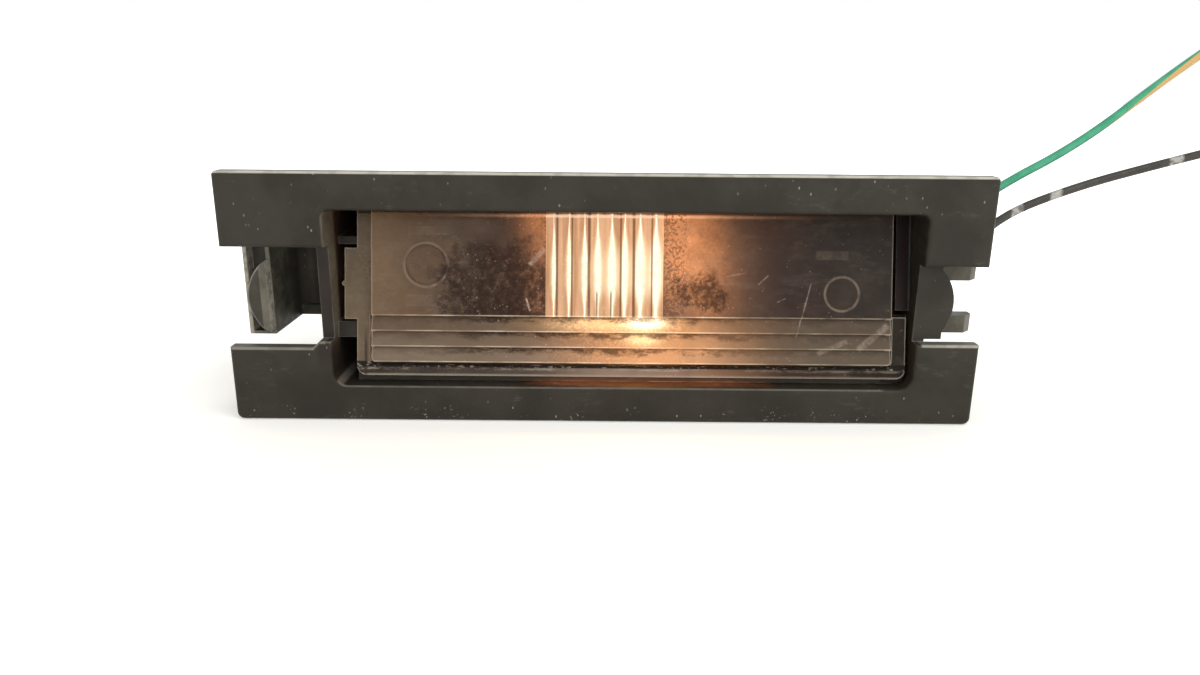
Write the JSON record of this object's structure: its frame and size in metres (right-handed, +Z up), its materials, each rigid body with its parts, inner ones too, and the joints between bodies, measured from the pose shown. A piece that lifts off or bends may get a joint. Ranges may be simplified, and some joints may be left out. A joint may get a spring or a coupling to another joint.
{
  "type": "number plate lamp",
  "caption": "Clip-in car number plate lamp with a black bezel housing, a tilted fluted clear lens, a wedge bulb in a twist-lock holder and a short pigtail.",
  "frame": {"origin": "middle of the bezel's rear face, the plane that seats on the car's panel", "axes": "+X along the lamp towards the hooks and leads, +Z up as pictured, the lit side faces -Y"},
  "size_m": [0.2103, 0.0274, 0.0589],
  "materials": {
    "black_plastic": "satin moulded plastic, scuffed and dusty",
    "clear_lens": "clear moulded plastic, hazy and grimy",
    "bulb_glass": "clear glass",
    "filament": "glowing coiled filament",
    "lead_wire": "plain drawn wire",
    "holder_plastic": "moulded plastic",
    "seal_rubber": "soft rubber",
    "contact_brass": "stamped brass strip",
    "green_insulation": "smooth insulation with a tan stripe",
    "black_insulation": "smooth insulation with pale rings",
    "connector_plastic": "moulded plastic",
    "lock_plastic": "moulded plastic",
    "wire_seal_rubber": "soft rubber",
    "terminal_tin": "tinned strip"
  },
  "bodies": {
    "root": {"housing": "black_plastic", "lens": "clear_lens", "bulb_glass": "bulb_glass", "bulb_filament": "filament", "bulb_lead_upper": "lead_wire", "bulb_lead_lower": "lead_wire", "bulb_holder": "holder_plastic", "holder_seal": "seal_rubber", "contact_upper": "contact_brass", "contact_lower": "contact_brass", "wire_green": "green_insulation", "wire_black": "black_insulation", "connector_housing": "connector_plastic", "connector_lock": "lock_plastic", "connector_seal_green": "wire_seal_rubber", "connector_seal_black": "wire_seal_rubber", "terminal_green": "terminal_tin", "terminal_black": "terminal_tin"}
  },
  "joints": []
}
